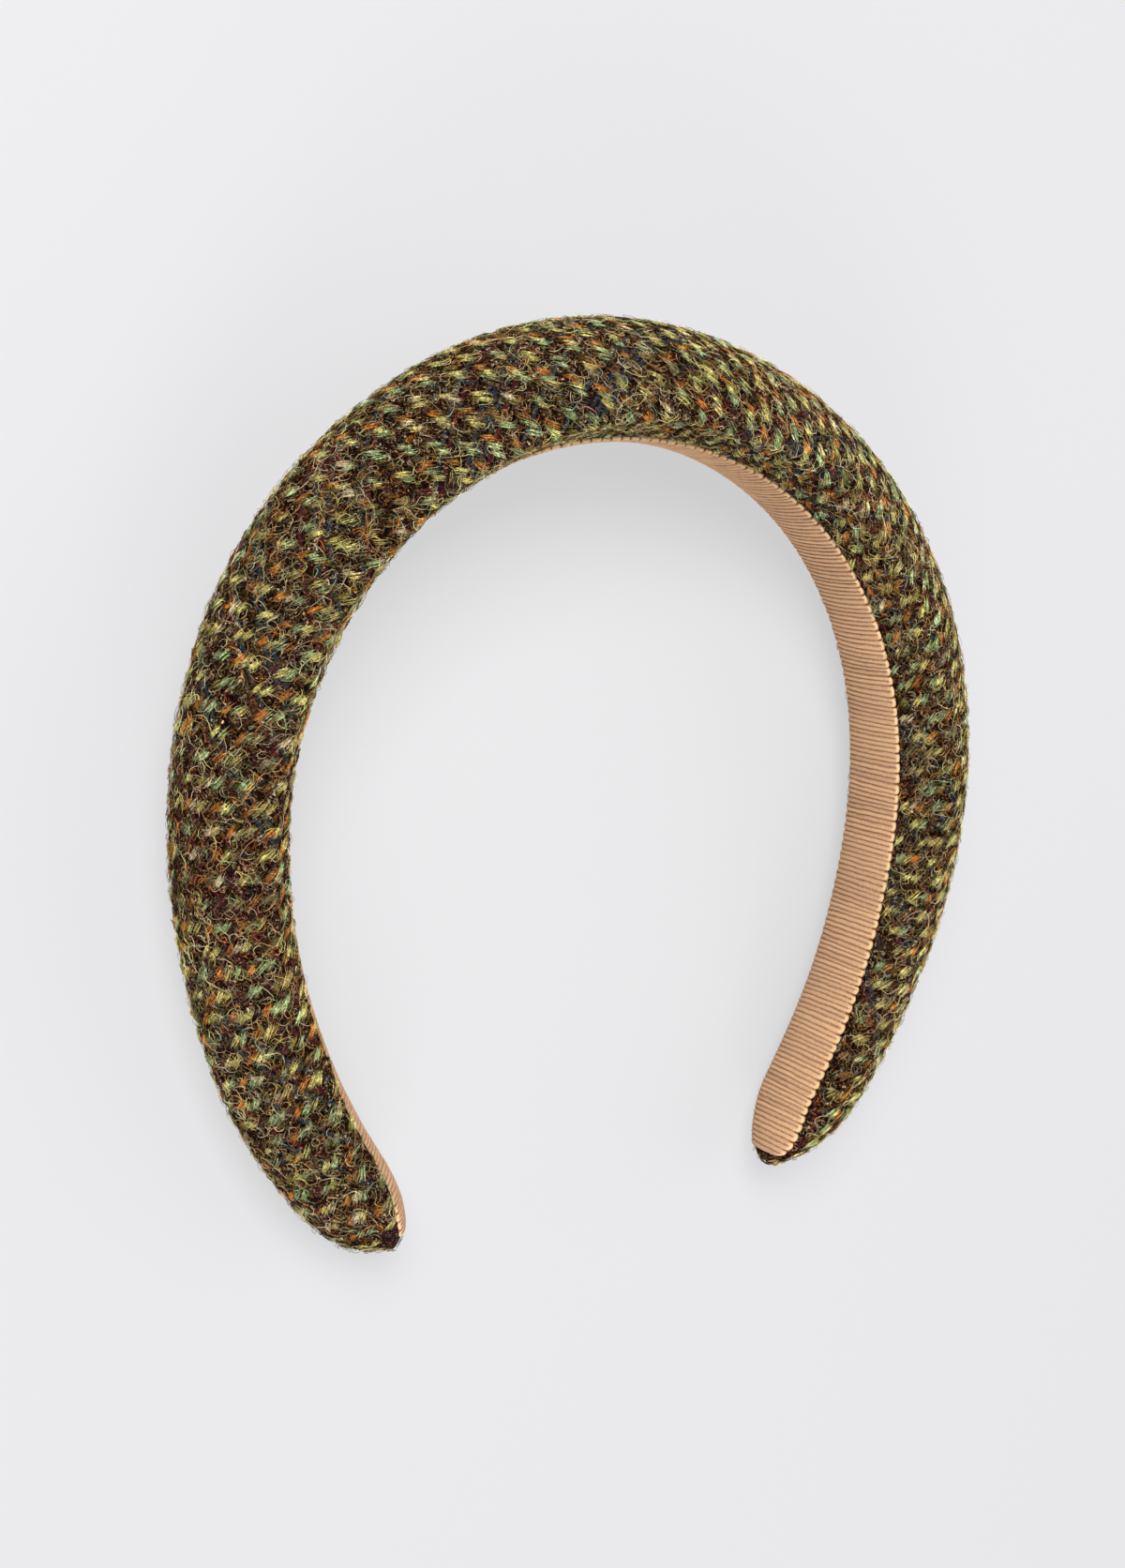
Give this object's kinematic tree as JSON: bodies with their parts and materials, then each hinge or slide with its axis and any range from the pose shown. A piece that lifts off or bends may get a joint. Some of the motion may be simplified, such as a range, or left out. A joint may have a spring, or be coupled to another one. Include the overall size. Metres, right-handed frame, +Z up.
{
  "type": "padded headband",
  "caption": "Padded headband: a thick rounded band of woven tweed bent to an open hoop, with a ribbed ribbon lining along the side that meets the head.",
  "frame": {"origin": "middle of the bounding box's base, on the floor that the band's back edge lies on", "axes": "+Z up through the hoop, toward the front edge; +Y toward the crown; the two tips point to -Y; +X to the wearer's left"},
  "size_m": [0.173, 0.1814, 0.046],
  "materials": {
    "tweed": "rough woven wool",
    "grosgrain": "ribbed with a soft sheen"
  },
  "bodies": {
    "root": {"tweed_cover": "tweed", "grosgrain_lining": "grosgrain"}
  },
  "joints": []
}
